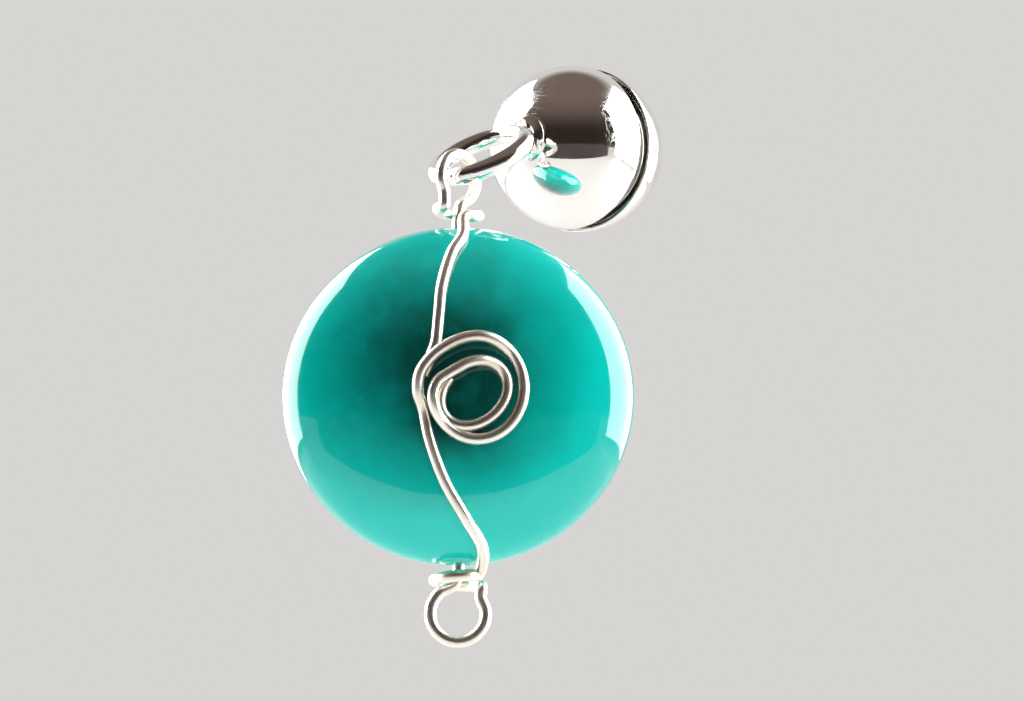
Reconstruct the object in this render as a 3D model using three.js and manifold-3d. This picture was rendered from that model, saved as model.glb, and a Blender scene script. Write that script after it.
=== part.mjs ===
// Magnetic drink charm: a two-part magnetic ball clasp pinches the wall of a glass, and a
// wire-wrapped coin bead hangs from the outer half by a jump ring.
// Millimetres, +Z up. The origin is the centre of the outer half's flat face, where it meets
// the glass; +Y points through the glass and -Y points out, away from it.

import * as THREE from "three";
import { mergeVertices } from "three/addons/utils/BufferGeometryUtils.js";
import Module from "manifold-3d";

const wasm = await Module();
wasm.setup();

// ---------------------------------------------------------------- driving dimensions
const BALL_RADIUS = 4.0;
const SHELL_WALL = 0.5;
const GLASS_GAP = 0.8;
const MAGNET_RADIUS = 3.0;
const MAGNET_THICKNESS = 1.5;
const MAGNET_CHAMFER = 0.15;
const POTTING_GAP = 0.1;

const EYE_RING_RADIUS = 1.4;
const EYE_WIRE_RADIUS = 0.4;
const EYE_CENTRE_OUT = 5.85;
const SHANK_HOLE_RADIUS = 0.55;
const COLLAR_RADIUS = 1.15;
const COLLAR_TOP_RADIUS = 0.75;
const COLLAR_HEIGHT = 0.5;
const COLLAR_SEAT_GAP = 0.08;
const PIN_HEAD_RADIUS = 0.8;
const PIN_HEAD_OUTER = 3.3;
const PIN_HEAD_INNER = 2.95;

const LINK_RING_RADIUS = 2.25;
const LINK_WIRE_RADIUS = 0.45;
const LINK_PITCH = 33;
const LINK_ROLL = 4;
const LINK_SEAT_DROP = 0.1;
const LINK_SEAM = 0.08;
const LINK_SEAM_AT = 40;

const BEAD_HALF_WIDTH = 8.25;
const BEAD_HALF_HEIGHT = 7.97;
const BEAD_HALF_THICKNESS = 3.0;
const BEAD_CENTRE_Z = -12.95;
const BEAD_BORE_RADIUS = 0.6;
const BEAD_RIM_POWER = 2.5;
const BEAD_FACE_POWER = 2.2;
const DROP_YAW = 34;

const WIRE_RADIUS = 0.28;
const WIRE_CLEARANCE = 0.3;
const WIRE_STACK = 0.64;
const NECK_COIL_RADIUS = 0.95;
const NECK_COIL_START = -72;
const NECK_COIL_END = 225;
const NECK_COIL_LOW = 0.4;
const NECK_COIL_HIGH = 0.96;
const TOP_LOOP_RADIUS = 1.15;
const TOP_LOOP_Z = -2.65;
const TOP_LOOP_TURN = 45;
const TOP_LOOP_START = 215;
const TOP_LOOP_END = -50;
const STEM_GUIDE = 4;
const STEM_ENTRY = 0.6;
const LOOP_FOOT = 0.1;
const BOTTOM_LOOP_RADIUS = 1.3;
const BOTTOM_LOOP_Z = -23.15;
const BOTTOM_LOOP_START = 130;
const BOTTOM_LOOP_END = 395;
const BOTTOM_COIL_RADIUS = 1.1;
const BOTTOM_COIL_END = 330;
const BOTTOM_COIL_LOW = 0.95;
const BOTTOM_COIL_HIGH = 0.42;
const SWIRL_CENTRE_X = 0.92;
const SWIRL_CENTRE_Z = 0.05;
const SWIRL_HALF_WIDTH = 2.14;
const SWIRL_HALF_HEIGHT = 2.37;
const SWIRL_BULGE = 0.62;
const SWIRL_START = 205;
const SWIRL_END = -585;
const SWIRL_STEP = 20;
const OVAL_CENTRE_X = 0.75;
const OVAL_CENTRE_Z = -0.21;
const OVAL_HALF_LENGTH = 1.7;
const OVAL_HALF_WIDTH = 1.34;
const OVAL_LEAN = 40;

const RING_SECTION_SIDES = 12;
const RING_POINTS = 40;
const RING_STEP = 0.4;
const WIRE_SECTION_SIDES = 8;
const WIRE_STEP = 0.33;
const COIL_STEP = 30;
const TURNED_SEGMENTS = 36;
const PIN_SEGMENTS = 24;
const BEAD_SEGMENTS = 48;
const BEAD_ROWS = 20;

// ---------------------------------------------------------------- finishes
const SILVER_PLATE = new THREE.MeshStandardMaterial({ color: 0xd9d8d4, roughness: 0.08, metalness: 1 });
const JEWELLERY_WIRE = new THREE.MeshStandardMaterial({ color: 0xd8d3c8, roughness: 0.15, metalness: 1 });
const MAGNET_NICKEL = new THREE.MeshStandardMaterial({ color: 0xb9b7b0, roughness: 0.25, metalness: 1 });
const POTTING_EPOXY = new THREE.MeshStandardMaterial({ color: 0xcfc9a8, roughness: 0.4, metalness: 0 });
const TEAL_GLASS = new THREE.MeshStandardMaterial({ color: 0x00a396, roughness: 0.05, metalness: 0 });

// ---------------------------------------------------------------- geometry helpers
const radians = THREE.MathUtils.degToRad;

function toSolid(geometry) {
  const bare = geometry.clone();
  bare.deleteAttribute("normal");
  bare.deleteAttribute("uv");
  const merged = mergeVertices(bare, 1e-4);
  return new wasm.Manifold(new wasm.Mesh({
    numProp: 3,
    vertProperties: new Float32Array(merged.attributes.position.array),
    triVerts: new Uint32Array(merged.index.array),
  }));
}

function toGeometry(solid) {
  const mesh = solid.getMesh();
  const geometry = new THREE.BufferGeometry();
  geometry.setAttribute("position", new THREE.BufferAttribute(mesh.vertProperties, 3));
  geometry.setIndex(new THREE.BufferAttribute(mesh.triVerts, 1));
  geometry.computeVertexNormals();
  return geometry;
}

// A solid of revolution about the Y axis, from [radius, y] pairs.
function turned(profile, segments = TURNED_SEGMENTS) {
  return new THREE.LatheGeometry(profile.map(([r, y]) => new THREE.Vector2(r, y)), segments);
}

// Points on a circle about the origin, from one polar angle to another, as [radius, y] pairs.
function arc(radius, fromDegrees, toDegrees, steps) {
  return Array.from({ length: steps + 1 }, (_, i) => {
    const angle = radians(fromDegrees + (toDegrees - fromDegrees) * i / steps);
    return [radius * Math.cos(angle), radius * Math.sin(angle)];
  });
}

function wireSection(radius, sides) {
  const corners = Array.from({ length: sides }, (_, i) => {
    const angle = 2 * Math.PI * i / sides;
    return new THREE.Vector2(radius * Math.cos(angle), radius * Math.sin(angle));
  });
  return new THREE.Shape(corners);
}

function sweptWire(points, radius, sides, stepLength) {
  const path = new THREE.CatmullRomCurve3(points, false, "centripetal");
  path.arcLengthDivisions = points.length * 20;
  const steps = Math.round(path.getLength() / stepLength);
  return new THREE.ExtrudeGeometry(wireSection(radius, sides), { steps, extrudePath: path });
}

// ---------------------------------------------------------------- clasp half
// Every piece of a half is turned about Y with its flat face at y = 0 and its dome towards -Y.

// The polar angle, on a circle of one radius, of the point that far from the axis.
function angleAt(offset, radius) {
  return -90 + THREE.MathUtils.radToDeg(Math.asin(offset / radius));
}

function shellGeometry(holeRadius) {
  const inner = BALL_RADIUS - SHELL_WALL;
  const outside = arc(BALL_RADIUS, angleAt(holeRadius, BALL_RADIUS), 0, 14);
  const inside = arc(inner, 0, angleAt(holeRadius, inner), 9);
  const closing = holeRadius > 0 ? [outside[0]] : [];
  return turned([...outside, ...inside, ...closing]);
}

function magnetGeometry() {
  const edge = MAGNET_RADIUS - MAGNET_CHAMFER;
  return turned([
    [0, -MAGNET_THICKNESS],
    [edge, -MAGNET_THICKNESS],
    [MAGNET_RADIUS, -MAGNET_THICKNESS + MAGNET_CHAMFER],
    [MAGNET_RADIUS, -MAGNET_CHAMFER],
    [edge, 0],
    [0, 0],
  ]);
}

// The glue behind the magnet, with a socket round the eye's pin head where there is one.
function pottingGeometry(socketRadius) {
  const radius = BALL_RADIUS - SHELL_WALL - POTTING_GAP;
  const face = -MAGNET_THICKNESS - POTTING_GAP;
  const rim = THREE.MathUtils.radToDeg(Math.asin(face / radius));
  const dome = arc(radius, angleAt(socketRadius, radius), rim, 6);
  const floor = -PIN_HEAD_INNER + POTTING_GAP;
  const socket = socketRadius > 0 ? [[0, floor], [socketRadius, floor]] : [];
  return turned([...socket, ...dome, [0, face]]);
}

// The eye: a wire ring on a collar, whose shank goes through the dome to a peened head.
function eyeGeometry() {
  const ring = new THREE.TorusGeometry(EYE_RING_RADIUS, EYE_WIRE_RADIUS, 10, 28);
  ring.rotateY(Math.PI / 2);
  ring.translate(0, -EYE_CENTRE_OUT, 0);
  const seat = BALL_RADIUS + COLLAR_SEAT_GAP;
  const collarTop = -seat - COLLAR_HEIGHT;
  const pin = turned([
    [0, collarTop],
    [COLLAR_TOP_RADIUS, collarTop],
    [COLLAR_RADIUS, collarTop + COLLAR_HEIGHT / 2],
    ...arc(seat, angleAt(COLLAR_RADIUS, seat), angleAt(EYE_WIRE_RADIUS, seat), 3),
    [EYE_WIRE_RADIUS, -PIN_HEAD_OUTER],
    [PIN_HEAD_RADIUS, -PIN_HEAD_OUTER],
    [PIN_HEAD_RADIUS, -PIN_HEAD_INNER],
    [0, -PIN_HEAD_INNER],
  ], PIN_SEGMENTS);
  return toGeometry(toSolid(ring).add(toSolid(pin)));
}

function claspHalf(name, hasEye) {
  const holeRadius = hasEye ? SHANK_HOLE_RADIUS : 0;
  const socketRadius = hasEye ? PIN_HEAD_RADIUS + POTTING_GAP : 0;
  const half = new THREE.Group();
  half.add(piece(`${name}_shell`, shellGeometry(holeRadius), SILVER_PLATE));
  half.add(piece(`${name}_magnet`, magnetGeometry(), MAGNET_NICKEL));
  half.add(piece(`${name}_potting`, pottingGeometry(socketRadius), POTTING_EPOXY));
  if (hasEye) half.add(piece(`${name}_eye`, eyeGeometry(), SILVER_PLATE));
  return half;
}

function piece(name, geometry, material) {
  const mesh = new THREE.Mesh(geometry, material);
  mesh.name = name;
  return mesh;
}

// ---------------------------------------------------------------- jump ring
// In its own frame the ring passes through the eye at the origin and reaches out along -Y.

function linkRingGeometry() {
  const seamAngle = LINK_SEAM / LINK_RING_RADIUS;
  const seamAt = radians(LINK_SEAM_AT);
  const points = Array.from({ length: RING_POINTS + 1 }, (_, i) => {
    const angle = seamAt + seamAngle / 2 + (2 * Math.PI - seamAngle) * i / RING_POINTS;
    const out = LINK_RING_RADIUS * (Math.sin(angle) - 1);
    return new THREE.Vector3(LINK_RING_RADIUS * Math.cos(angle), out, 0);
  });
  return sweptWire(points, LINK_WIRE_RADIUS, RING_SECTION_SIDES, RING_STEP);
}

function linkGroup() {
  const group = new THREE.Group();
  group.position.set(0, -EYE_CENTRE_OUT, -LINK_SEAT_DROP);
  group.rotation.set(radians(LINK_PITCH), radians(-LINK_ROLL), 0);
  group.add(piece("link_ring", linkRingGeometry(), SILVER_PLATE));
  return group;
}

// ---------------------------------------------------------------- bead and its wire
// In the drop's own frame the bead's face looks along -Y and the wire's stem is the Z axis.

// Half the bead's thickness at a point of its outline, given from the bead's centre.
function beadDepth(x, z) {
  const reach = Math.hypot(x / BEAD_HALF_WIDTH, z / BEAD_HALF_HEIGHT);
  const left = Math.max(0, 1 - Math.pow(Math.min(reach, 1), BEAD_RIM_POWER));
  return BEAD_HALF_THICKNESS * Math.pow(left, 1 / BEAD_FACE_POWER);
}

function beadGeometry() {
  const profile = Array.from({ length: BEAD_ROWS + 1 }, (_, i) => {
    const angle = Math.PI * (i / BEAD_ROWS - 0.5);
    const reach = Math.pow(Math.cos(angle), 2 / BEAD_RIM_POWER);
    const depth = Math.sign(angle) * Math.pow(Math.abs(Math.sin(angle)), 2 / BEAD_FACE_POWER);
    return [i % BEAD_ROWS === 0 ? 0 : reach, BEAD_HALF_THICKNESS * depth];
  });
  const body = turned(profile, BEAD_SEGMENTS);
  body.scale(BEAD_HALF_WIDTH, 1, BEAD_HALF_HEIGHT);
  const bore = new THREE.CylinderGeometry(BEAD_BORE_RADIUS, BEAD_BORE_RADIUS, 3 * BEAD_HALF_HEIGHT, 16);
  bore.rotateX(Math.PI / 2);
  const geometry = toGeometry(toSolid(body).subtract(toSolid(bore)));
  geometry.translate(0, 0, BEAD_CENTRE_Z);
  return geometry;
}

// A point of the wire on the bead's face, given from the bead's centre; stacked wire lies
// over another strand.
function onFace(x, z, stacked = 0) {
  const lift = WIRE_RADIUS + WIRE_CLEARANCE + WIRE_STACK * stacked;
  return new THREE.Vector3(x, -beadDepth(x, z) - lift, BEAD_CENTRE_Z + z);
}

// A point of the swirl. It leaves the lower strand at the left and winds clockwise and inwards:
// up over the end of the upper strand, once round a ring, then once round a leaning oval.
function swirlPoint(degrees) {
  const { lerp, smoothstep } = THREE.MathUtils;
  const angle = radians(degrees);
  const halfWidth = SWIRL_HALF_WIDTH + SWIRL_BULGE * smoothstep(degrees, 90, 165);
  const ringX = SWIRL_CENTRE_X + halfWidth * Math.cos(angle);
  const ringZ = SWIRL_CENTRE_Z + SWIRL_HALF_HEIGHT * Math.sin(angle);
  const lean = radians(OVAL_LEAN);
  const along = OVAL_HALF_LENGTH * Math.cos(angle - lean);
  const across = OVAL_HALF_WIDTH * Math.sin(angle - lean);
  const ovalX = OVAL_CENTRE_X + along * Math.cos(lean) - across * Math.sin(lean);
  const ovalZ = OVAL_CENTRE_Z + along * Math.sin(lean) + across * Math.cos(lean);
  const inward = smoothstep(-degrees, 150, 235);
  const overStrand = smoothstep(degrees, 30, 90) * smoothstep(-degrees, -215, -170);
  const overOval = smoothstep(-degrees, 120, 170) * smoothstep(degrees, -330, -250);
  return onFace(lerp(ringX, ovalX, inward), lerp(ringZ, ovalZ, inward), overStrand + overOval);
}

function swirlPoints() {
  const points = [];
  for (let degrees = SWIRL_START; degrees >= SWIRL_END; degrees -= SWIRL_STEP) {
    points.push(swirlPoint(degrees));
  }
  return points;
}

// Turns around the stem, from one height to another; the angle is seen from above.
function coilPoints(radius, fromDegrees, toDegrees, fromZ, toZ) {
  const count = Math.ceil(Math.abs(toDegrees - fromDegrees) / COIL_STEP);
  return Array.from({ length: count + 1 }, (_, i) => {
    const angle = radians(fromDegrees + (toDegrees - fromDegrees) * i / count);
    const z = fromZ + (toZ - fromZ) * i / count;
    return new THREE.Vector3(radius * Math.cos(angle), radius * Math.sin(angle), z);
  });
}

// A loop's round part, in a vertical plane turned about the stem.
function loopPoints(radius, centreZ, fromDegrees, toDegrees, turn) {
  const count = Math.ceil(Math.abs(toDegrees - fromDegrees) / COIL_STEP);
  return Array.from({ length: count + 1 }, (_, i) => {
    const angle = radians(fromDegrees + (toDegrees - fromDegrees) * i / count);
    const across = radius * Math.cos(angle);
    return new THREE.Vector3(
      across * Math.cos(radians(turn)),
      across * Math.sin(radians(turn)),
      centreZ + radius * Math.sin(angle),
    );
  });
}

// One wire makes everything: upper strand, neck coil, top loop, stem, bottom loop, lower coil,
// lower strand and swirl. The upper strand's end is tucked under the swirl.
function beadWireGeometry() {
  const top = BEAD_CENTRE_Z + BEAD_HALF_HEIGHT;
  const bottom = BEAD_CENTRE_Z - BEAD_HALF_HEIGHT;
  const upperFoot = TOP_LOOP_Z - TOP_LOOP_RADIUS;
  const lowerFoot = BOTTOM_LOOP_Z + BOTTOM_LOOP_RADIUS;
  const points = [
    onFace(-1.6, 0.7),
    onFace(-1.36, 1.3),
    onFace(-1.04, 2.1),
    onFace(-0.88, 3.5),
    onFace(-0.74, 4.9),
    onFace(-0.28, 6.5),
    onFace(0.2, 7.35),
    ...coilPoints(NECK_COIL_RADIUS, NECK_COIL_START, NECK_COIL_END, top + NECK_COIL_LOW, top + NECK_COIL_HIGH),
    ...loopPoints(TOP_LOOP_RADIUS, TOP_LOOP_Z, TOP_LOOP_START, TOP_LOOP_END, TOP_LOOP_TURN),
    new THREE.Vector3(0.12, 0.12, upperFoot - LOOP_FOOT),
    new THREE.Vector3(0, 0, upperFoot - STEM_ENTRY),
    new THREE.Vector3(0, 0, BEAD_CENTRE_Z + STEM_GUIDE),
    new THREE.Vector3(0, 0, BEAD_CENTRE_Z - STEM_GUIDE),
    new THREE.Vector3(0, 0, lowerFoot + STEM_ENTRY),
    new THREE.Vector3(-0.15, 0, lowerFoot + LOOP_FOOT),
    ...loopPoints(BOTTOM_LOOP_RADIUS, BOTTOM_LOOP_Z, BOTTOM_LOOP_START, BOTTOM_LOOP_END, 0),
    ...coilPoints(BOTTOM_COIL_RADIUS, 0, BOTTOM_COIL_END, bottom - BOTTOM_COIL_LOW, bottom - BOTTOM_COIL_HIGH),
    onFace(1.15, -7.25),
    onFace(0.42, -6.0),
    onFace(-0.6, -4.25),
    onFace(-1.3, -2.3),
    ...swirlPoints(),
  ];
  return sweptWire(points, WIRE_RADIUS, WIRE_SECTION_SIDES, WIRE_STEP);
}

function dropGroup() {
  const reach = 2 * LINK_RING_RADIUS * Math.cos(radians(LINK_PITCH));
  const group = new THREE.Group();
  group.position.y = -EYE_CENTRE_OUT - reach;
  group.rotation.z = radians(DROP_YAW);
  group.add(piece("bead", beadGeometry(), TEAL_GLASS));
  group.add(piece("bead_wire", beadWireGeometry(), JEWELLERY_WIRE));
  return group;
}

// ---------------------------------------------------------------- assembly
const charm = new THREE.Group();
charm.add(claspHalf("outer", true));

const innerHalf = claspHalf("inner", false);
innerHalf.rotation.z = Math.PI;
innerHalf.position.y = GLASS_GAP;
charm.add(innerHalf);

charm.add(linkGroup());
charm.add(dropGroup());

export default charm;
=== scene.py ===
import math

import bpy
from mathutils import Matrix, Vector


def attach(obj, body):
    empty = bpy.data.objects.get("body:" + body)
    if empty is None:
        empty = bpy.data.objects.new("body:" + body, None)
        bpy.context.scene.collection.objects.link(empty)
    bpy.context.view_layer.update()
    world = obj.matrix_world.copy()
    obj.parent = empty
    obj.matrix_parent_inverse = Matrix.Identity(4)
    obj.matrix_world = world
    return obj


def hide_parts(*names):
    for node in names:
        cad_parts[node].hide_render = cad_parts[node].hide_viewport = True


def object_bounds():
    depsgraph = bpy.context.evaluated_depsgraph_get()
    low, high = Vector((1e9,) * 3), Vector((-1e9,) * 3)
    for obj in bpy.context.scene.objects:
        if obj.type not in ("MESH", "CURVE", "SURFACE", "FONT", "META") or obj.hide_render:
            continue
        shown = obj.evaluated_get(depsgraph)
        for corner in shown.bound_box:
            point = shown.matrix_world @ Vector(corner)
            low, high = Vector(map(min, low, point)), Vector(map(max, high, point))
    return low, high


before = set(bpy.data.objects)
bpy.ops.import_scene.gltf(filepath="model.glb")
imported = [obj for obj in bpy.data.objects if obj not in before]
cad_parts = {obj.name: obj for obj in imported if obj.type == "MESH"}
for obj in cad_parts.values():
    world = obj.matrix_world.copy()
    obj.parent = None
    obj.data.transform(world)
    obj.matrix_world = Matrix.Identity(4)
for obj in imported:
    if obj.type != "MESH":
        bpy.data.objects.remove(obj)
cad_low, cad_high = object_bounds()

# Magnetic drink charm. Shapes below are worked out in millimetres, in the part's own frame,
# and scaled to metres as each mesh is made.
MM = 0.001

# ------------------------------------------------------------------ dimensions of the part
BALL_RADIUS = 4.0
SHELL_WALL = 0.5
SHELL_LIP = 0.06
GLASS_GAP = 0.8
MAGNET_RADIUS = 3.0
MAGNET_THICKNESS = 1.5
MAGNET_CHAMFER = 0.15
POTTING_GAP = 0.1

EYE_RING_RADIUS = 1.4
EYE_WIRE_RADIUS = 0.4
EYE_CENTRE_OUT = 5.85
SHANK_HOLE_RADIUS = 0.55
COLLAR_RADIUS = 1.15
COLLAR_TOP_RADIUS = 0.75
COLLAR_HEIGHT = 0.5
COLLAR_SEAT_GAP = 0.02
PIN_HEAD_RADIUS = 0.8
PIN_HEAD_OUTER = 3.3
PIN_HEAD_INNER = 2.95

LINK_RING_RADIUS = 2.25
LINK_WIRE_RADIUS = 0.45
LINK_PITCH = 33
LINK_ROLL = 4
LINK_SEAT_DROP = 0.1
LINK_SEAM = 0.08
LINK_SEAM_AT = 40

BEAD_HALF_WIDTH = 8.25
BEAD_HALF_HEIGHT = 7.97
BEAD_HALF_THICKNESS = 3.0
BEAD_CENTRE_Z = -12.95
BEAD_BORE_RADIUS = 0.6
BEAD_RIM_POWER = 2.5
BEAD_FACE_POWER = 2.2
DROP_YAW = 34

WIRE_RADIUS = 0.28
WIRE_CLEARANCE = 0.04
WIRE_STACK = 0.58
NECK_COIL_RADIUS = 0.95
NECK_COIL_START = -72
NECK_COIL_END = 225
NECK_COIL_LOW = 0.4
NECK_COIL_HIGH = 0.96
TOP_LOOP_RADIUS = 1.15
TOP_LOOP_Z = -2.65
TOP_LOOP_TURN = 45
TOP_LOOP_START = 215
TOP_LOOP_END = -50
TOP_FOOT = 0.12
STEM_GUIDE = 4
STEM_ENTRY = 0.6
LOOP_FOOT = 0.1
BOTTOM_FOOT = -0.15
BOTTOM_LOOP_RADIUS = 1.3
BOTTOM_LOOP_Z = -23.15
BOTTOM_LOOP_START = 130
BOTTOM_LOOP_END = 395
BOTTOM_COIL_RADIUS = 1.1
BOTTOM_COIL_END = 330
BOTTOM_COIL_LOW = 0.95
BOTTOM_COIL_HIGH = 0.42
SWIRL_CENTRE_X = 0.92
SWIRL_CENTRE_Z = 0.05
SWIRL_HALF_WIDTH = 2.14
SWIRL_HALF_HEIGHT = 2.37
SWIRL_BULGE = 0.62
SWIRL_START = 205
SWIRL_END = -585
SWIRL_STEP = 20
OVAL_CENTRE_X = 0.75
OVAL_CENTRE_Z = -0.21
OVAL_HALF_LENGTH = 1.7
OVAL_HALF_WIDTH = 1.34
OVAL_LEAN = 40
# The swirl's smooth changes, each between two angles in degrees. WIDE and LEAVE go by the angle
# and the others by its negative, since the angle falls as the swirl winds.
SWIRL_WIDE = (90, 165)
SWIRL_INWARD = (150, 235)
STRAND_CLIMB = (-215, -170)
STRAND_LEAVE = (30, 90)
OVAL_CLIMB = (120, 170)
OVAL_LEAVE = (-330, -250)
# The strands' points on the bead's face, (x, z) from its centre.
UPPER_STRAND = (
    (-1.6, 0.7), (-1.36, 1.3), (-1.04, 2.1), (-0.88, 3.5), (-0.74, 4.9), (-0.28, 6.5), (0.2, 7.35),
)
LOWER_STRAND = ((1.15, -7.25), (0.42, -6.0), (-0.6, -4.25), (-1.3, -2.3))

# ------------------------------------------------------------------ edges and small forms
# How far inside its radius a dome's outline stops, to run into the lip.
DOME_STOP = 0.004
HOLLOW_STOP = 0.002
POTTING_BULGE = 0.05
POTTING_RINGS = (2.8, 2.2, 1.6, 1.0, 0.5)
# The collar's dished top, as shares of its radius and drops below the collar's height.
COLLAR_TOP = ((0, 0.04), (0.8, 0.03), (1, 0.06))
COLLAR_EDGE = 0.06
COLLAR_FLARE_POWER = 1.8
COLLAR_FLARE_SHARE = 0.62
COLLAR_FOOT_SHARE = 0.8
PIN_HEAD_ROUND = 0.1
RING_END_ROUND = 0.03
WIRE_END_ROUND = 0.06
BEAD_UNEVENNESS = 0.006
BORE_OVERRUN = 0.6
COUNTERSINK_DEPTH = 0.25
COUNTERSINK_RADIUS = 1.35

# ------------------------------------------------------------------ fineness of the meshes
DOME_STEPS = 60
HOLLOW_STEPS = 40
LIP_STEPS = 6
INNER_LIP_STEPS = 4
MAGNET_ROWS = 12
CHAMFER_STEPS = 6
DISC_SEGMENTS = 96
POTTING_STEPS = 24
FLARE_STEPS = 8
COLLAR_EDGE_STEPS = 3
COLLAR_SEAT_STEPS = 8
PIN_HEAD_STEPS = 4
PIN_SEGMENTS = 64
EYE_SIDES = 28
EYE_SEGMENTS = 80
RING_POINTS = 180
RING_SIDES = 28
BEAD_ROWS = 96
BEAD_SEGMENTS = 192
BORE_SEGMENTS = 48
COIL_STEP = 30
WIRE_STEP = 0.09
WIRE_SIDES = 18
CAP_STEPS = 5
# Creases sharper than these angles stay sharp in the shading.
CREASE = 40
EYE_CREASE = 50
BEAD_CREASE = 35


# ------------------------------------------------------------------ mesh helpers
def mesh_piece(name, vertices, faces, place=Matrix.Identity(4)):
    """A mesh object from points in millimetres, put in place and shaded smooth up to a crease."""
    mesh = bpy.data.meshes.new(name)
    mesh.from_pydata([(place @ Vector(v)) * MM for v in vertices], [], faces)
    mesh.validate()
    mesh.shade_smooth()
    mesh.set_sharp_from_angle(angle=math.radians(CREASE))
    piece = bpy.data.objects.new(name, mesh)
    bpy.context.scene.collection.objects.link(piece)
    return piece


def arc(radius, start, end, steps, centre=(0, 0)):
    """Points of a circle in the [radius, y] plane of a turned profile, angles in degrees."""
    angles = [math.radians(start + (end - start) * i / steps) for i in range(steps + 1)]
    return [(centre[0] + radius * math.cos(a), centre[1] + radius * math.sin(a)) for a in angles]


def turned(profile, segments=128, closed=False):
    """Vertices and faces of a profile turned about the Y axis, its outline seen anticlockwise."""
    rings, vertices, faces = [], [], []
    for r, y in profile:
        if r < 1e-6:
            rings.append([len(vertices)] * segments)
            vertices.append((0, y, 0))
            continue
        rings.append(list(range(len(vertices), len(vertices) + segments)))
        for k in range(segments):
            turn = 2 * math.pi * k / segments
            vertices.append((r * math.sin(turn), y, r * math.cos(turn)))
    pairs = list(zip(rings, rings[1:]))
    if closed:
        pairs.append((rings[-1], rings[0]))
    for low, high in pairs:
        for k in range(segments):
            corners = [low[k], low[(k + 1) % segments], high[(k + 1) % segments], high[k]]
            face = list(dict.fromkeys(corners))
            if len(face) > 2:
                faces.append(face)
    return vertices, faces


def smooth_path(points, spacing):
    """Points along a centripetal Catmull-Rom curve, about evenly spaced."""
    first = 2 * points[0] - points[1]
    last = 2 * points[-1] - points[-2]
    knots = [first, *points, last]
    path = []
    for p0, p1, p2, p3 in zip(knots, knots[1:], knots[2:], knots[3:]):
        d0, d1, d2 = (math.sqrt((b - a).length) for a, b in ((p0, p1), (p1, p2), (p2, p3)))
        out = ((p1 - p0) / d0 - (p2 - p0) / (d0 + d1) + (p2 - p1) / d1) * d1
        into = ((p2 - p1) / d1 - (p3 - p1) / (d1 + d2) + (p3 - p2) / d2) * d1
        steps = max(2, round((p2 - p1).length / spacing))
        for i in range(steps):
            t = i / steps
            path.append(
                p1 * (2 * t**3 - 3 * t**2 + 1) + out * (t**3 - 2 * t**2 + t)
                + p2 * (3 * t**2 - 2 * t**3) + into * (t**3 - t**2)
            )
    path.append(points[-1])
    return path


def swept(path, radius, sides, cap_round):
    """Vertices, faces and wire coordinates of a round wire along a path, its ends dressed."""
    count = len(path)
    tangents = [(path[min(i + 1, count - 1)] - path[max(i - 1, 0)]).normalized() for i in range(count)]
    across = tangents[0].orthogonal().normalized()
    sections = []
    travelled = 0.0
    for i, (point, tangent) in enumerate(zip(path, tangents)):
        if i:
            across = tangents[i - 1].rotation_difference(tangent) @ across
            travelled += (point - path[i - 1]).length
        across = (across - tangent * across.dot(tangent)).normalized()
        sections.append((point, tangent, across.copy(), radius, travelled))
    head, tail = sections[0], sections[-1]
    for i in range(1, CAP_STEPS + 1):
        turn = math.pi / 2 * i / CAP_STEPS
        shrink = radius - cap_round * (1 - math.cos(turn))
        reach = cap_round * math.sin(turn)
        sections.insert(0, (head[0] - head[1] * reach, head[1], head[2], shrink, -reach))
        sections.append((tail[0] + tail[1] * reach, tail[1], tail[2], shrink, tail[4] + reach))
    vertices, coords, faces = [], [], []
    for point, tangent, across, r, along in sections:
        beside = tangent.cross(across)
        for k in range(sides):
            turn = 2 * math.pi * k / sides
            vertices.append(point + (across * math.cos(turn) + beside * math.sin(turn)) * r)
            coords.append((math.cos(turn), math.sin(turn), along))
    for i in range(len(sections) - 1):
        for k in range(sides):
            a, b = i * sides + k, i * sides + (k + 1) % sides
            faces.append((a, b, b + sides, a + sides))
    faces.append(tuple(reversed(range(sides))))
    faces.append(tuple(range((len(sections) - 1) * sides, len(sections) * sides)))
    return vertices, faces, coords


def add_coords(piece, name, values):
    """A vector for each vertex, for the piece's material to read."""
    attribute = piece.data.attributes.new(name, "FLOAT_VECTOR", "POINT")
    attribute.data.foreach_set("vector", [x for value in values for x in value])


def combine(piece, other, operation):
    """Joins or cuts one piece with another in place; the other is used up."""
    boolean = piece.modifiers.new("combine", "BOOLEAN")
    boolean.operation = operation
    boolean.solver = "EXACT"
    boolean.object = other
    bpy.context.view_layer.update()
    evaluated = piece.evaluated_get(bpy.context.evaluated_depsgraph_get())
    result = bpy.data.meshes.new_from_object(evaluated)
    piece.modifiers.clear()
    piece.data = result
    bpy.data.objects.remove(other)
    return piece


def dress(piece, body, node, material):
    """Puts a finished piece on its body, in place of its CAD node, in its material."""
    piece.data.materials.clear()
    piece.data.materials.append(material)
    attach(piece, body)
    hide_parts(node)


# ------------------------------------------------------------------ node helpers
# A colour mix node's sockets; several share a name, so they go by number.
MIX_FACTOR, MIX_A, MIX_B, MIX_RESULT = 0, 6, 7, 2
HAIRLINE_STRETCH = (60, 2400, 2400)
HAIRLINE_WIDTH = 0.012


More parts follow.
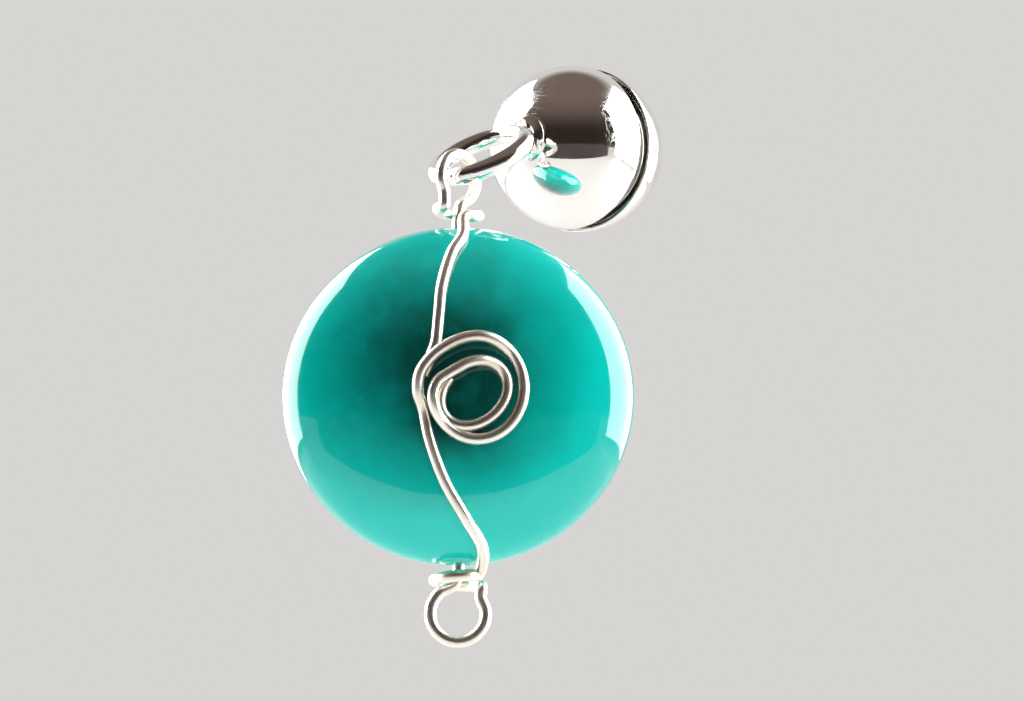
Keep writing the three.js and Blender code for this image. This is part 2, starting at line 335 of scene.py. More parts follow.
class Shader:
    """A material's node tree, with the few kinds of node that these finishes use."""

    def __init__(self, name, **settings):
        self.material = bpy.data.materials.new(name)
        self.material.use_nodes = True
        self.tree = self.material.node_tree
        self.surface = self.tree.nodes["Principled BSDF"]
        for socket, value in settings.items():
            self.surface.inputs[socket.replace("_", " ")].default_value = value
        self.place = self.node("ShaderNodeTexCoord").outputs["Object"]

    def node(self, kind, inputs=(), **settings):
        node = self.tree.nodes.new(kind)
        for key, value in settings.items():
            setattr(node, key, value)
        for key, value in dict(inputs).items():
            if isinstance(value, bpy.types.NodeSocket):
                self.tree.links.new(value, node.inputs[key])
            else:
                node.inputs[key].default_value = value
        return node

    def link(self, output, socket):
        self.tree.links.new(output, self.surface.inputs[socket])

    def attribute(self, name):
        return self.node("ShaderNodeAttribute", attribute_name=name).outputs["Vector"]

    def stretched(self, vector, scale, turn=(0, 0, 0)):
        inputs = {"Vector": vector, "Scale": scale, "Rotation": [math.radians(t) for t in turn]}
        return self.node("ShaderNodeMapping", inputs).outputs["Vector"]

    def noise(self, size_mm, detail=3, vector=None, rough=0.5, warp=0):
        inputs = {
            "Vector": vector or self.place,
            "Scale": 1 / (size_mm * MM) if vector is None else 1 / size_mm,
            "Detail": detail,
            "Roughness": rough,
            "Distortion": warp,
        }
        return self.node("ShaderNodeTexNoise", inputs).outputs["Fac"]

    def spots(self, spacing_mm):
        inputs = {"Vector": self.place, "Scale": 1 / (spacing_mm * MM)}
        return self.node("ShaderNodeTexVoronoi", inputs).outputs["Distance"]

    def remap(self, value, low, high, to_low=0, to_high=1, smooth=True):
        inputs = {"Value": value, "From Min": low, "From Max": high, "To Min": to_low, "To Max": to_high}
        kind = "SMOOTHSTEP" if smooth else "LINEAR"
        return self.node("ShaderNodeMapRange", inputs, interpolation_type=kind).outputs["Result"]

    def math(self, operation, a, b):
        return self.node("ShaderNodeMath", {0: a, 1: b}, operation=operation).outputs["Value"]

    def mix(self, factor, a, b):
        inputs = {MIX_FACTOR: factor, MIX_A: a, MIX_B: b}
        return self.node("ShaderNodeMix", inputs, data_type="RGBA").outputs[MIX_RESULT]

    def bump(self, layers):
        """Bump from several (height, depth in mm) layers, each on the one before."""
        normal = None
        for height, depth_mm in layers:
            inputs = {"Height": height, "Distance": depth_mm * MM, "Strength": 1.0}
            if normal is not None:
                inputs["Normal"] = normal
            normal = self.node("ShaderNodeBump", inputs).outputs["Normal"]
        self.link(normal, "Normal")

    def scratches(self, spread, turns):
        """Fine hairlines in several directions, 1 on a hairline and 0 beside it."""
        total = None
        for turn in turns:
            along = self.stretched(self.place, HAIRLINE_STRETCH, turn)
            lines = self.noise(spread, 1, along, warp=0.4)
            near = self.math("ABSOLUTE", self.math("SUBTRACT", lines, 0.5), 0)
            hair = self.remap(near, 0.0, HAIRLINE_WIDTH, 1, 0)
            total = hair if total is None else self.math("MAXIMUM", total, hair)
        return total


# ------------------------------------------------------------------ finishes
SILVER = (0.93, 0.915, 0.89, 1)
TARNISHED_SILVER = (0.80, 0.745, 0.66, 1)
WIRE_SILVER = (0.94, 0.91, 0.85, 1)
TARNISHED_WIRE = (0.82, 0.73, 0.59, 1)
RING_PLATE = (0.91, 0.905, 0.895, 1)
WORN_RING_PLATE = (0.77, 0.745, 0.71, 1)
DEEP_TEAL = (0.0, 0.055, 0.045, 1)
MIDDLE_TEAL = (0.0, 0.43, 0.37, 1)
SHALLOW_TEAL = (0.002, 0.72, 0.64, 1)
VEIN_TEAL = (0.003, 0.76, 0.68, 1)
SPECK_TEAL = (0.0, 0.06, 0.052, 1)
NICKEL = (0.72, 0.70, 0.655, 1)
STAINED_NICKEL = (0.55, 0.52, 0.465, 1)
DARK_EPOXY = (0.60, 0.50, 0.30, 1)
PALE_EPOXY = (0.72, 0.65, 0.45, 1)
DARK_FLOOR = (0.53, 0.525, 0.515, 1)
PALE_FLOOR = (0.57, 0.565, 0.555, 1)
CARD_BLACK = (0.03, 0.02, 0.016, 1)
# How the bead's deep colour sits: nearer its top than its bottom, as painted shade, and a little to one
# side.
PAINTED_SHADE_RISE = -0.3
DEPTH_SIDE = 0.2
# The three directions of the polishing hairlines, in degrees.
HAIRLINE_TURNS = ((0, 20, 35), (50, -15, 80), (10, 70, -40))


def polished_silver():
    """Mirror silver plate: faint smudges, hairline scratches and slight unevenness."""
    s = Shader("polished_silver", Metallic=1.0)
    smudge = s.remap(s.noise(1.6, 4, warp=0.6), 0.42, 0.7)
    hairs = s.scratches(1.0, HAIRLINE_TURNS)
    worn = s.math("MULTIPLY", hairs, s.remap(s.noise(2.6, 2), 0.45, 0.62))
    tarnish = s.math("MULTIPLY", s.remap(s.noise(3.1, 5, rough=0.6), 0.5, 0.75), 0.55)
    s.link(s.mix(tarnish, SILVER, TARNISHED_SILVER), "Base Color")
    rough = s.math("ADD", s.remap(smudge, 0, 1, 0.035, 0.11), s.math("MULTIPLY", worn, 0.12))
    s.link(rough, "Roughness")
    s.bump([(s.noise(2.4, 1), 0.006), (s.noise(0.35, 2), 0.0005), (worn, -0.0008)])
    return s.material


def drawn_silver_wire():
    """Silver wire: die lines along its length, a warm cast and slight tarnish in patches."""
    s = Shader("drawn_silver_wire", Metallic=1.0)
    coords = s.attribute("wire_coords")
    lines = s.noise(1.0, 3, s.stretched(coords, (9, 9, 0.35)))
    patches = s.remap(s.noise(1.0, 4, s.stretched(coords, (0.5, 0.5, 0.45)), rough=0.6), 0.42, 0.68)
    s.link(s.mix(patches, WIRE_SILVER, TARNISHED_WIRE), "Base Color")
    dull = s.remap(lines, 0.35, 0.75, 0.26, 0.4)
    s.link(s.math("ADD", dull, s.math("MULTIPLY", patches, 0.07)), "Roughness")
    s.bump([(lines, 0.0035), (s.noise(0.9, 2), 0.01)])
    return s.material


def ring_steel():
    """Plated steel ring wire, cooler than the drawn silver, with bending marks."""
    s = Shader("plated_ring_steel", Metallic=1.0)
    coords = s.attribute("wire_coords")
    lines = s.noise(1.0, 3, s.stretched(coords, (7, 7, 0.5)))
    marks = s.remap(s.noise(1.0, 2, s.stretched(coords, (1.2, 1.2, 2.2))), 0.6, 0.72)
    tint = s.remap(s.noise(1.8, 4), 0.4, 0.7)
    s.link(s.mix(tint, RING_PLATE, WORN_RING_PLATE), "Base Color")
    rough = s.math("ADD", s.remap(lines, 0.3, 0.8, 0.06, 0.17), s.math("MULTIPLY", marks, 0.1))
    s.link(rough, "Roughness")
    s.bump([(lines, 0.003), (marks, -0.004)])
    return s.material


def teal_glaze():
    """Glossy teal glaze, deep where the bead is thick, lighter towards its thin rim; painted shade
    darkens its top.
    """
    s = Shader(
        "teal_glaze", Coat_Weight=1.0, Coat_Roughness=0.02, Coat_IOR=1.45, IOR=1.3,
        Subsurface_Weight=0.12, Subsurface_Scale=0.0012, Subsurface_Radius=(0.25, 1.0, 0.9),
    )
    coords = s.node("ShaderNodeSeparateXYZ", {"Vector": s.attribute("bead_coords")})
    reach = coords.outputs["X"]
    clouds = s.noise(3.4, 5, rough=0.55, warp=0.5)
    # Painted shade: the height share makes the bead's top darker and its bottom lighter.
    depth_and_painted_shade = s.math("ADD", reach, s.math("MULTIPLY", coords.outputs["Y"], PAINTED_SHADE_RISE))
    depth_and_painted_shade = s.math("ADD", depth_and_painted_shade, s.math("MULTIPLY", coords.outputs["Z"], DEPTH_SIDE))
    edge = s.math("ADD", depth_and_painted_shade, s.remap(clouds, 0.2, 0.8, -0.1, 0.1, smooth=False))
    deep = s.mix(s.remap(edge, 0.15, 0.74), DEEP_TEAL, MIDDLE_TEAL)
    shallow = s.mix(s.remap(edge, 0.6, 1.05), deep, SHALLOW_TEAL)
    veins = s.remap(s.noise(1.6, 4, rough=0.5, warp=0.6), 0.5, 0.8, 0, 0.12)
    veined = s.mix(veins, shallow, VEIN_TEAL)
    specks = s.remap(s.spots(0.9), 0.04, 0.075, 0.3, 0)
    s.link(s.mix(specks, veined, SPECK_TEAL), "Base Color")
    s.link(s.remap(s.noise(1.3, 4), 0.35, 0.7, 0.05, 0.16), "Roughness")
    s.bump([(s.noise(2.8, 1), 0.02), (s.noise(0.4, 2), 0.0012), (specks, -0.002)])
    return s.material


def magnet_nickel():
    """Nickel plate on a sintered magnet: satin, faintly turned, with small edge nicks."""
    s = Shader("magnet_nickel", Metallic=1.0)
    grain = s.noise(0.12, 3)
    rings = s.noise(1.0, 2, s.stretched(s.attribute("turned_coords"), (14, 0.8, 3)))
    stain = s.remap(s.noise(1.9, 5, rough=0.6), 0.45, 0.7)
    nicks = s.remap(s.spots(0.55), 0.05, 0.12, 1, 0)
    s.link(s.mix(stain, NICKEL, STAINED_NICKEL), "Base Color")
    rough = s.math("ADD", s.remap(rings, 0.3, 0.7, 0.2, 0.34), s.math("MULTIPLY", stain, 0.1))
    s.link(rough, "Roughness")
    s.bump([(rings, 0.004), (grain, 0.002), (nicks, -0.006)])
    return s.material


def potting_epoxy():
    """Cured epoxy: amber, cloudy, with trapped bubbles."""
    s = Shader("potting_epoxy", IOR=1.52, Coat_Weight=0.3, Coat_Roughness=0.15)
    clouds = s.remap(s.noise(0.8, 4, warp=0.4), 0.35, 0.7)
    bubbles = s.remap(s.spots(0.45), 0.1, 0.2, 1, 0)
    s.link(s.mix(clouds, DARK_EPOXY, PALE_EPOXY), "Base Color")
    s.link(s.remap(clouds, 0, 1, 0.28, 0.42), "Roughness")
    s.bump([(clouds, 0.01), (bubbles, -0.02)])
    return s.material


def pale_floor():
    """Matt pale table top with the faintest mottling."""
    s = Shader("pale_floor", Roughness=0.6)
    mottle = s.noise(60, 3)
    s.link(s.mix(mottle, DARK_FLOOR, PALE_FLOOR), "Base Color")
    return s.material


# ------------------------------------------------------------------ clasp
OUTER_PLACE = Matrix.Identity(4)
INNER_PLACE = Matrix.Translation((0, GLASS_GAP, 0)) @ Matrix.Rotation(math.pi, 4, "Z")


def angle_at(offset, radius):
    """The polar angle, on a circle of one radius, of the point that far from the axis."""
    return -90 + math.degrees(math.asin(offset / radius))


def dome(name, hole_radius, place):
    """A hollow hemisphere with a rolled, rounded lip round its open side."""
    inner = BALL_RADIUS - SHELL_WALL
    lip_centre = (BALL_RADIUS - SHELL_LIP, -SHELL_LIP)
    inner_lip = SHELL_LIP / 2
    outer_start = angle_at(hole_radius, BALL_RADIUS)
    outer_end = angle_at(BALL_RADIUS - DOME_STOP, BALL_RADIUS)
    inner_start = angle_at(inner - HOLLOW_STOP, inner)
    inner_end = angle_at(hole_radius, inner)
    outline = [
        *arc(BALL_RADIUS, outer_start, outer_end, DOME_STEPS),
        *arc(SHELL_LIP, 0, 90, LIP_STEPS, lip_centre)[1:],
        *arc(inner_lip, 90, 180, INNER_LIP_STEPS, (inner + inner_lip, -inner_lip)),
        *arc(inner, inner_start, inner_end, HOLLOW_STEPS),
    ]
    vertices, faces = turned(outline, closed=hole_radius > 0)
    return mesh_piece(name, vertices, faces, place)


def magnet(name, place):
    """A disc magnet with softened edges."""
    edge = MAGNET_RADIUS - MAGNET_CHAMFER
    back = -MAGNET_THICKNESS
    outline = [
        (0, back),
        *[(edge * i / MAGNET_ROWS, back) for i in range(1, MAGNET_ROWS)],
        *arc(MAGNET_CHAMFER, -90, 0, CHAMFER_STEPS, (edge, back + MAGNET_CHAMFER)),
        *arc(MAGNET_CHAMFER, 0, 90, CHAMFER_STEPS, (edge, -MAGNET_CHAMFER)),
        *[(edge * i / MAGNET_ROWS, 0) for i in range(MAGNET_ROWS - 1, 0, -1)],
        (0, 0),
    ]
    vertices, faces = turned(outline, DISC_SEGMENTS)
    piece = mesh_piece(name, vertices, faces, place)
    add_coords(piece, "turned_coords", [(math.hypot(x, z), y, 0) for x, y, z in vertices])
    return piece


def potting(name, socket_radius, place):
    """The glue behind the magnet, with a socket round the eye's pin head where there is one."""
    radius = BALL_RADIUS - SHELL_WALL - POTTING_GAP
    face = -MAGNET_THICKNESS - POTTING_GAP
    rim = math.degrees(math.asin(face / radius))
    floor = -PIN_HEAD_INNER + POTTING_GAP
    socket = [(0, floor), (socket_radius, floor)] if socket_radius else []
    back = arc(radius, angle_at(socket_radius, radius), rim, POTTING_STEPS)
    widest = POTTING_RINGS[0]
    bulge = [(r, face - POTTING_BULGE * (1 - (r / widest) ** 2)) for r in POTTING_RINGS]
    outline = [*socket, *back, *bulge, (0, face - POTTING_BULGE)]
    vertices, faces = turned(outline, DISC_SEGMENTS)
    return mesh_piece(name, vertices, faces, place)


def eye(name):
    """Wire ring soldered on a flared collar, whose shank ends in a peened head."""
    seat = BALL_RADIUS + COLLAR_SEAT_GAP
    collar_top = -seat - COLLAR_HEIGHT
    spread = COLLAR_RADIUS - COLLAR_TOP_RADIUS
    flare = []
    for i in range(1, FLARE_STEPS + 1):
        out = COLLAR_TOP_RADIUS + spread * (i / FLARE_STEPS) ** COLLAR_FLARE_POWER
        fall = (COLLAR_HEIGHT * COLLAR_FLARE_SHARE) * i / FLARE_STEPS
        flare.append((out, collar_top + COLLAR_EDGE + fall))
    foot = (COLLAR_RADIUS - COLLAR_EDGE, collar_top + COLLAR_HEIGHT * COLLAR_FOOT_SHARE)
    head = PIN_HEAD_RADIUS - PIN_HEAD_ROUND
    outline = [
        *[(COLLAR_TOP_RADIUS * share, collar_top + drop) for share, drop in COLLAR_TOP],
        *flare,
        *arc(COLLAR_EDGE, 300, 360, COLLAR_EDGE_STEPS, foot),
        *arc(seat, angle_at(COLLAR_RADIUS, seat), angle_at(EYE_WIRE_RADIUS, seat), COLLAR_SEAT_STEPS),
        (EYE_WIRE_RADIUS, -PIN_HEAD_OUTER),
        *arc(PIN_HEAD_ROUND, -90, 0, PIN_HEAD_STEPS, (head, -PIN_HEAD_OUTER + PIN_HEAD_ROUND)),
        *arc(PIN_HEAD_ROUND, 0, 90, PIN_HEAD_STEPS, (head, -PIN_HEAD_INNER - PIN_HEAD_ROUND)),
        (0, -PIN_HEAD_INNER),
    ]
    pin = mesh_piece(f"{name}_pin", *turned(outline, PIN_SEGMENTS))
    section = arc(EYE_WIRE_RADIUS, 0, 360, EYE_SIDES, (EYE_RING_RADIUS, 0))[:-1]
    vertices, faces = turned(section, EYE_SEGMENTS, closed=True)
    across = Matrix.Translation((0, -EYE_CENTRE_OUT, 0)) @ Matrix.Rotation(math.pi / 2, 4, "Z")
    ring = mesh_piece(name, vertices, faces, across)
    eyelet = combine(ring, pin, "UNION")
    eyelet.data.shade_smooth()
    eyelet.data.set_sharp_from_angle(angle=math.radians(EYE_CREASE))
    return eyelet


# ------------------------------------------------------------------ jump ring
LINK_PLACE = (
    Matrix.Translation((0, -EYE_CENTRE_OUT, -LINK_SEAT_DROP))
    @ Matrix.Rotation(math.radians(LINK_PITCH), 4, "X")
    @ Matrix.Rotation(math.radians(-LINK_ROLL), 4, "Y")
)


def jump_ring(name):
    """Round wire bent to a ring, its two sawn ends almost meeting at the seam."""
    seam = LINK_SEAM / LINK_RING_RADIUS
    start = math.radians(LINK_SEAM_AT) + seam / 2
    path = []
    for i in range(RING_POINTS + 1):
        angle = start + (2 * math.pi - seam) * i / RING_POINTS
        x = LINK_RING_RADIUS * math.cos(angle)
        path.append(Vector((x, LINK_RING_RADIUS * (math.sin(angle) - 1), 0)))
    vertices, faces, coords = swept(path, LINK_WIRE_RADIUS, RING_SIDES, RING_END_ROUND)
    ring = mesh_piece(name, vertices, faces, LINK_PLACE)
    add_coords(ring, "wire_coords", coords)
    return ring


# ------------------------------------------------------------------ bead and its wire
LINK_REACH = 2 * LINK_RING_RADIUS * math.cos(math.radians(LINK_PITCH))
DROP_PLACE = (
    Matrix.Translation((0, -EYE_CENTRE_OUT - LINK_REACH, 0))
    @ Matrix.Rotation(math.radians(DROP_YAW), 4, "Z")
)
DROP_PLACE_METRES = Matrix.Translation(DROP_PLACE.to_translation() * MM) @ DROP_PLACE.to_3x3().to_4x4()


def bead_depth(x, z):
    """Half the bead's thickness at a point of its outline, given from the bead's centre."""
    reach = math.hypot(x / BEAD_HALF_WIDTH, z / BEAD_HALF_HEIGHT)
    left = max(0, 1 - min(reach, 1) ** BEAD_RIM_POWER)
    return BEAD_HALF_THICKNESS * left ** (1 / BEAD_FACE_POWER)


def uneven(x, z):
    """What a point's depth is multiplied by, for the slow waves of a moulded face."""
    return 1 + BEAD_UNEVENNESS * math.sin(2.1 * x + 1.3 * z + 0.4) * math.cos(3.4 * z - 0.9 * x)


def coin_bead(name):
    """A puffed coin with a very slightly uneven moulded form and a countersunk bore."""
    outline = []
    for i in range(BEAD_ROWS + 1):
        angle = math.pi * (i / BEAD_ROWS - 0.5)
        reach = abs(math.cos(angle)) ** (2 / BEAD_RIM_POWER) if 0 < i < BEAD_ROWS else 0
        depth = math.copysign(abs(math.sin(angle)) ** (2 / BEAD_FACE_POWER), angle)
        outline.append((reach, BEAD_HALF_THICKNESS * depth))
    vertices, faces = turned(outline, BEAD_SEGMENTS)
    shaped = [(x * BEAD_HALF_WIDTH, y * uneven(x, z), z * BEAD_HALF_HEIGHT) for x, y, z in vertices]
    bead = mesh_piece(name, shaped, faces)
    end = BEAD_HALF_HEIGHT + BORE_OVERRUN
    mouth = BEAD_HALF_HEIGHT - COUNTERSINK_DEPTH
    bore_outline = [
        (0, -end), (COUNTERSINK_RADIUS, -end), (BEAD_BORE_RADIUS, -mouth),
        (BEAD_BORE_RADIUS, mouth), (COUNTERSINK_RADIUS, end), (0, end),
    ]
    upright = Matrix.Rotation(math.pi / 2, 4, "X")
    bore = mesh_piece("bore", *turned(bore_outline, BORE_SEGMENTS), upright)
    bead = combine(bead, bore, "DIFFERENCE")
    reaches = []
    for vertex in bead.data.vertices:
        x, _, z = vertex.co / MM
        rise = z / BEAD_HALF_HEIGHT
        side = x / BEAD_HALF_WIDTH
        reaches.append((math.hypot(side, rise), rise, side))
    add_coords(bead, "bead_coords", reaches)
    bead.data.transform(DROP_PLACE_METRES @ Matrix.Translation((0, 0, BEAD_CENTRE_Z * MM)))
    bead.data.shade_smooth()
    bead.data.set_sharp_from_angle(angle=math.radians(BEAD_CREASE))
    return bead


def on_face(x, z, stacked=0):
    """A point of the wire on the bead's face, from the bead's centre; stacked wire lies higher."""
    lift = WIRE_RADIUS + WIRE_CLEARANCE + WIRE_STACK * stacked
    return Vector((x, -bead_depth(x, z) - lift, BEAD_CENTRE_Z + z))


def smoothstep(value, low, high):
    """0 below one value, 1 above another, and a smooth change between."""
    t = min(max((value - low) / (high - low), 0), 1)
    return t * t * (3 - 2 * t)


def lerp(a, b, share):
    return a + (b - a) * share


def swirl_point(degrees):
    """A point of the swirl, which leaves the lower strand at the left and winds clockwise and
    inwards: over the upper strand's end, once round a ring, then once round a leaning oval."""
    angle = math.radians(degrees)
    half_width = SWIRL_HALF_WIDTH + SWIRL_BULGE * smoothstep(degrees, *SWIRL_WIDE)
    ring_x = SWIRL_CENTRE_X + half_width * math.cos(angle)
    ring_z = SWIRL_CENTRE_Z + SWIRL_HALF_HEIGHT * math.sin(angle)
    lean = math.radians(OVAL_LEAN)
    along = OVAL_HALF_LENGTH * math.cos(angle - lean)
    across = OVAL_HALF_WIDTH * math.sin(angle - lean)
    oval_x = OVAL_CENTRE_X + along * math.cos(lean) - across * math.sin(lean)
    oval_z = OVAL_CENTRE_Z + along * math.sin(lean) + across * math.cos(lean)
    inward = smoothstep(-degrees, *SWIRL_INWARD)
    over_strand = smoothstep(degrees, *STRAND_LEAVE) * smoothstep(-degrees, *STRAND_CLIMB)
    over_oval = smoothstep(-degrees, *OVAL_CLIMB) * smoothstep(degrees, *OVAL_LEAVE)
    x, z = lerp(ring_x, oval_x, inward), lerp(ring_z, oval_z, inward)
    return on_face(x, z, over_strand + over_oval)


def coil_points(radius, start, end, from_z, to_z):
    """Turns around the stem, from one height to another; the angle is seen from above."""
    count = math.ceil(abs(end - start) / COIL_STEP)
    points = []
    for i in range(count + 1):
        angle = math.radians(start + (end - start) * i / count)
        z = from_z + (to_z - from_z) * i / count
        points.append(Vector((radius * math.cos(angle), radius * math.sin(angle), z)))
    return points


def loop_points(radius, centre_z, start, end, turn):
    """A loop's round part, in a vertical plane turned about the stem."""
    count = math.ceil(abs(end - start) / COIL_STEP)
    plane = math.radians(turn)
    points = []
    for i in range(count + 1):
        angle = math.radians(start + (end - start) * i / count)
        across = radius * math.cos(angle)
        z = centre_z + radius * math.sin(angle)
        points.append(Vector((across * math.cos(plane), across * math.sin(plane), z)))
    return points


def bead_wire(name):
    """One wire: upper strand, neck coil, top loop, stem, bottom loop, lower coil, lower strand
    and swirl. The upper strand's end is tucked under the swirl."""
    top = BEAD_CENTRE_Z + BEAD_HALF_HEIGHT
    bottom = BEAD_CENTRE_Z - BEAD_HALF_HEIGHT
    upper_foot = TOP_LOOP_Z - TOP_LOOP_RADIUS
    lower_foot = BOTTOM_LOOP_Z + BOTTOM_LOOP_RADIUS
    neck = (NECK_COIL_START, NECK_COIL_END, top + NECK_COIL_LOW, top + NECK_COIL_HIGH)
    lower_coil = (0, BOTTOM_COIL_END, bottom - BOTTOM_COIL_LOW, bottom - BOTTOM_COIL_HIGH)
    points = [
        *[on_face(x, z) for x, z in UPPER_STRAND],
        *coil_points(NECK_COIL_RADIUS, *neck),
        *loop_points(TOP_LOOP_RADIUS, TOP_LOOP_Z, TOP_LOOP_START, TOP_LOOP_END, TOP_LOOP_TURN),
        Vector((TOP_FOOT, TOP_FOOT, upper_foot - LOOP_FOOT)),
        Vector((0, 0, upper_foot - STEM_ENTRY)),
        Vector((0, 0, BEAD_CENTRE_Z + STEM_GUIDE)),
        Vector((0, 0, BEAD_CENTRE_Z - STEM_GUIDE)),
        Vector((0, 0, lower_foot + STEM_ENTRY)),
        Vector((BOTTOM_FOOT, 0, lower_foot + LOOP_FOOT)),
        *loop_points(BOTTOM_LOOP_RADIUS, BOTTOM_LOOP_Z, BOTTOM_LOOP_START, BOTTOM_LOOP_END, 0),
        *coil_points(BOTTOM_COIL_RADIUS, *lower_coil),
        *[on_face(x, z) for x, z in LOWER_STRAND],
        *[swirl_point(degrees) for degrees in range(SWIRL_START, SWIRL_END - 1, -SWIRL_STEP)],
    ]
    path = smooth_path(points, WIRE_STEP)
    vertices, faces, coords = swept(path, WIRE_RADIUS, WIRE_SIDES, WIRE_END_ROUND)
    wire = mesh_piece(name, vertices, faces, DROP_PLACE)
    add_coords(wire, "wire_coords", coords)
    return wire


# ------------------------------------------------------------------ studio
VIEW_AZIMUTH = 34
VIEW_ELEVATION = -6.5
LENS = 200
SENSOR_WIDTH = 36
IMAGE_ASPECT = 701 / 1024
FRAME_MARGIN = 1.16
FLOOR_HALF_SIZE = 4
FLOOR_DROP = 0.22
CLIP_START_PART = 20
CLIP_END_TIMES = 100
STUDIO_DISTANCE = 0.8
PANEL_BOTTOM = -0.19
PANEL_TOP = 1.1
PANEL_RADIANCE = 8
FILL_ELEVATION = 32
FILL_SIZE = 0.6
OVERHEAD_SPREAD = 80
OVERHEAD_IRRADIANCE = 3.4
CARD_DISTANCE = 0.55
CARD_WIDTH = 1.5
DIM_LEVEL = (0.030, 0.020, 0.016, 1)
DIM_OVERHEAD = (0.17, 0.13, 0.11, 1)
PALE_SURROUNDINGS = (0.66, 0.65, 0.635, 1)
BACKDROP = (0.68, 0.665, 0.65, 1)
# Between which values of a direction's part along the view, or upwards, the surroundings change.
BEHIND_FADE = (-0.25, 0.2)
OVERHEAD_FADE = (0.9, 0.7)
DIM_FADE = (0.25, 0.95)


def direction(azimuth, elevation):
    """Unit vector from the object; azimuth 0 is -Y and 90 is +X, elevation is above the horizon."""
    a, e = math.radians(azimuth), math.radians(elevation)
    return Vector((math.sin(a) * math.cos(e), -math.cos(a) * math.cos(e), math.sin(e)))


def add_camera(centre, height):
    """A long-lens camera at the view's angle, as far off as fits the height in the frame."""
    camera = bpy.data.objects.new("camera", bpy.data.cameras.new("camera"))
    bpy.context.scene.collection.objects.link(camera)
    camera.data.lens = LENS
    camera.data.sensor_width = SENSOR_WIDTH
    distance = FRAME_MARGIN * height * LENS / (SENSOR_WIDTH * IMAGE_ASPECT)
    back = direction(VIEW_AZIMUTH, VIEW_ELEVATION)
    camera.location = centre + back * distance
    camera.rotation_mode = "QUATERNION"
    camera.rotation_quaternion = (-back).to_track_quat("-Z", "Y")
    camera.data.clip_start = distance / CLIP_START_PART
    camera.data.clip_end = distance * CLIP_END_TIMES
    bpy.context.scene.camera = camera


def add_softbox(name, centre, azimuth, width):
    """An upright softbox that only the glossy surfaces show. The fills and the overhead light do
    the lighting."""
    light = bpy.data.lights.new(name, "AREA")
    light.shape = "RECTANGLE"
    light.size = width
    light.size_y = PANEL_TOP - PANEL_BOTTOM
    light.energy = PANEL_RADIANCE * math.pi * width * (PANEL_TOP - PANEL_BOTTOM)
    panel = bpy.data.objects.new(name, light)
    panel.rotation_mode = "QUATERNION"
    towards = direction(azimuth, 0)
    middle = Vector((0, 0, (PANEL_BOTTOM + PANEL_TOP) / 2))
    panel.location = centre + towards * STUDIO_DISTANCE + middle
    panel.rotation_quaternion = (-towards).to_track_quat("-Z", "Y")
    panel.visible_camera = False
    panel.visible_diffuse = False
    bpy.context.scene.collection.objects.link(panel)


def add_fill(name, centre, azimuth, radiance):
    """A square soft light that isn't mirrored in the glossy surfaces."""
    light = bpy.data.lights.new(name, "AREA")
    light.shape = "SQUARE"
    light.size = FILL_SIZE
    light.energy = radiance * math.pi * FILL_SIZE * FILL_SIZE
    fill = bpy.data.objects.new(name, light)
    fill.rotation_mode = "QUATERNION"
    towards = direction(azimuth, FILL_ELEVATION)
    fill.location = centre + towards * STUDIO_DISTANCE
    fill.rotation_quaternion = (-towards).to_track_quat("-Z", "Y")
    fill.visible_camera = False
    fill.visible_glossy = False
    bpy.context.scene.collection.objects.link(fill)


def add_overhead():
    """A very broad overhead light that keeps the whole floor pale."""
    light = bpy.data.lights.new("overhead", "SUN")
    light.energy = OVERHEAD_IRRADIANCE
    light.angle = math.radians(OVERHEAD_SPREAD)
    overhead = bpy.data.objects.new("overhead", light)
    overhead.visible_glossy = False
    bpy.context.scene.collection.objects.link(overhead)


def add_world():
    """Studio surroundings: pale behind the object, dark on the front side, dim overhead, and a
    plain backdrop where the camera looks past everything."""
    world = bpy.data.worlds.new("studio")
    bpy.context.scene.world = world
    world.use_nodes = True
    tree = world.node_tree
    tree.nodes.clear()

    def node(kind, **settings):
        made = tree.nodes.new(kind)
        for key, value in settings.items():
            setattr(made, key, value)
        return made

    def fade(value, low, high):
        made = node("ShaderNodeMapRange", interpolation_type="SMOOTHSTEP")
        made.inputs["From Min"].default_value = low
        made.inputs["From Max"].default_value = high
        tree.links.new(value, made.inputs["Value"])
        return made.outputs["Result"]

    way = node("ShaderNodeTexCoord").outputs["Generated"]
    along = node("ShaderNodeVectorMath", operation="DOT_PRODUCT")
    tree.links.new(way, along.inputs[0])
    along.inputs[1].default_value = -direction(VIEW_AZIMUTH, 0)
    up = node("ShaderNodeSeparateXYZ")
    tree.links.new(way, up.inputs[0])
    behind = fade(along.outputs["Value"], *BEHIND_FADE)
    low = fade(up.outputs["Z"], *OVERHEAD_FADE)
    pale = node("ShaderNodeMath", operation="MULTIPLY")
    tree.links.new(behind, pale.inputs[0])
    tree.links.new(low, pale.inputs[1])
    mix = node("ShaderNodeMix", data_type="RGBA")
    dim = node("ShaderNodeMix", data_type="RGBA")
    dim.inputs[MIX_A].default_value = DIM_LEVEL
    dim.inputs[MIX_B].default_value = DIM_OVERHEAD
    tree.links.new(fade(up.outputs["Z"], *DIM_FADE), dim.inputs[MIX_FACTOR])
    tree.links.new(dim.outputs[MIX_RESULT], mix.inputs[MIX_A])
    mix.inputs[MIX_B].default_value = PALE_SURROUNDINGS
    tree.links.new(pale.outputs["Value"], mix.inputs[MIX_FACTOR])
    lit = node("ShaderNodeBackground")
    tree.links.new(mix.outputs[MIX_RESULT], lit.inputs["Color"])
    backdrop = node("ShaderNodeBackground")
    backdrop.inputs["Color"].default_value = BACKDROP
    rays = node("ShaderNodeLightPath")
    choose = node("ShaderNodeMixShader")
    tree.links.new(rays.outputs["Is Camera Ray"], choose.inputs["Fac"])
    tree.links.new(lit.outputs[0], choose.inputs[1])
    tree.links.new(backdrop.outputs[0], choose.inputs[2])
    tree.links.new(choose.outputs[0], node("ShaderNodeOutputWorld").inputs["Surface"])


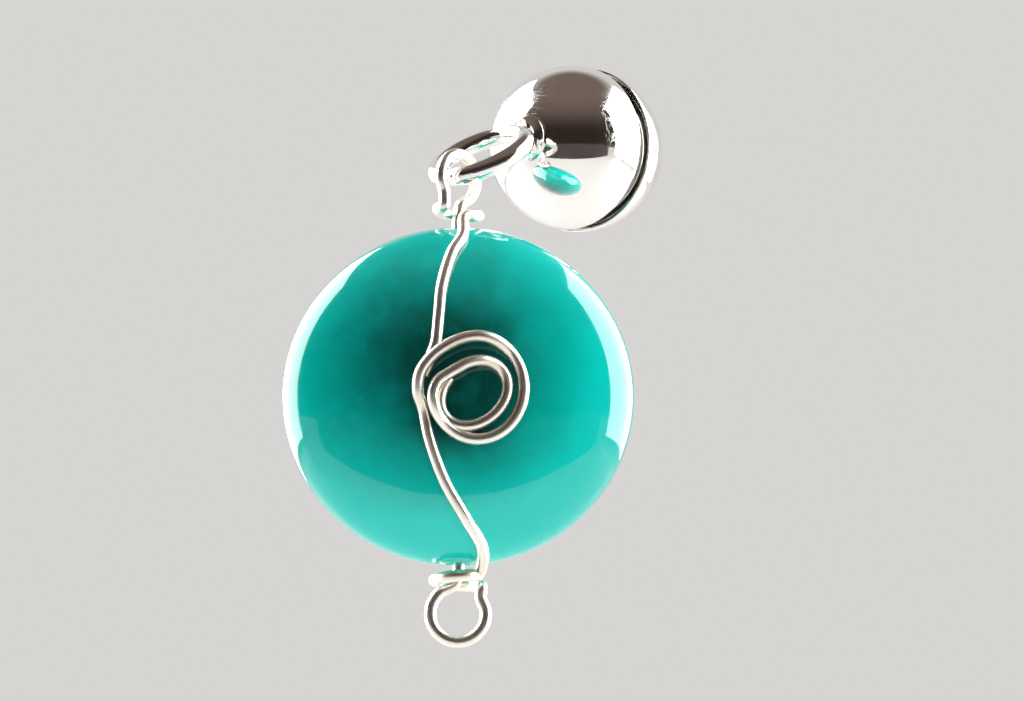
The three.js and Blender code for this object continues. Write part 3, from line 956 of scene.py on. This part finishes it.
def add_sheet(name, corners, material):
    """A flat four-cornered piece of the set."""
    mesh = bpy.data.meshes.new(name)
    mesh.from_pydata(corners, [], [(0, 1, 2, 3)])
    mesh.materials.append(material)
    sheet = bpy.data.objects.new(name, mesh)
    bpy.context.scene.collection.objects.link(sheet)
    return sheet


def add_floor(low):
    """The table top, well below the object."""
    size = FLOOR_HALF_SIZE
    z = low.z - FLOOR_DROP
    corners = [(-size, -size, z), (size, -size, z), (size, size, z), (-size, size, z)]
    floor = add_sheet("floor", corners, pale_floor())


def add_dark_card(centre, low):
    """A black card that stands on the floor in front and shows only in reflections, as the dark
    side of a studio does."""
    towards = direction(VIEW_AZIMUTH, 0)
    across = towards.cross(Vector((0, 0, 1))) * CARD_WIDTH / 2
    foot = Vector((centre.x, centre.y, low.z - FLOOR_DROP)) + towards * CARD_DISTANCE
    top = Vector((0, 0, FLOOR_DROP))
    corners = [foot - across, foot + across, foot + across + top, foot - across + top]
    black = Shader("black_card", Base_Color=CARD_BLACK, Roughness=1.0).material
    card = add_sheet("dark_card", corners, black)
    card.visible_camera = False
    card.visible_diffuse = False
    card.visible_shadow = False


# ------------------------------------------------------------------ the charm
def build_charm():
    """Every piece of the charm, on its body and in place of its CAD node."""
    silver = polished_silver()
    nickel = magnet_nickel()
    epoxy = potting_epoxy()
    socket = PIN_HEAD_RADIUS + POTTING_GAP
    for half, place, hole, pocket in (
        ("outer", OUTER_PLACE, SHANK_HOLE_RADIUS, socket),
        ("inner", INNER_PLACE, 0, 0),
    ):
        body = f"{half}_half"
        dress(dome(f"{half}_dome", hole, place), body, f"{half}_shell", silver)
        dress(magnet(f"{half}_disc_magnet", place), body, f"{half}_magnet", nickel)
        dress(potting(f"{half}_glue", pocket, place), body, f"{half}_potting", epoxy)
    dress(eye("outer_eyelet"), "outer_half", "outer_eye", silver)
    dress(jump_ring("jump_ring"), "link", "link_ring", ring_steel())
    dress(coin_bead("coin_bead"), "drop", "bead", teal_glaze())
    dress(bead_wire("wrapped_wire"), "drop", "bead_wire", drawn_silver_wire())


build_charm()
bpy.context.scene.view_settings.view_transform = "Standard"
centre = (cad_low + cad_high) / 2
add_camera(centre, cad_high.z - cad_low.z)
add_world()
add_floor(cad_low)
add_dark_card(centre, cad_low)
add_softbox("left_panel", centre, azimuth=-82, width=1.15)
add_softbox("right_panel", centre, azimuth=136, width=1.2)
add_fill("front_fill", centre, azimuth=VIEW_AZIMUTH, radiance=1.7)
add_fill("left_fill", centre, azimuth=-70, radiance=1.2)
add_fill("right_fill", centre, azimuth=130, radiance=1.4)
add_fill("back_fill", centre, azimuth=214, radiance=1.0)
add_overhead()
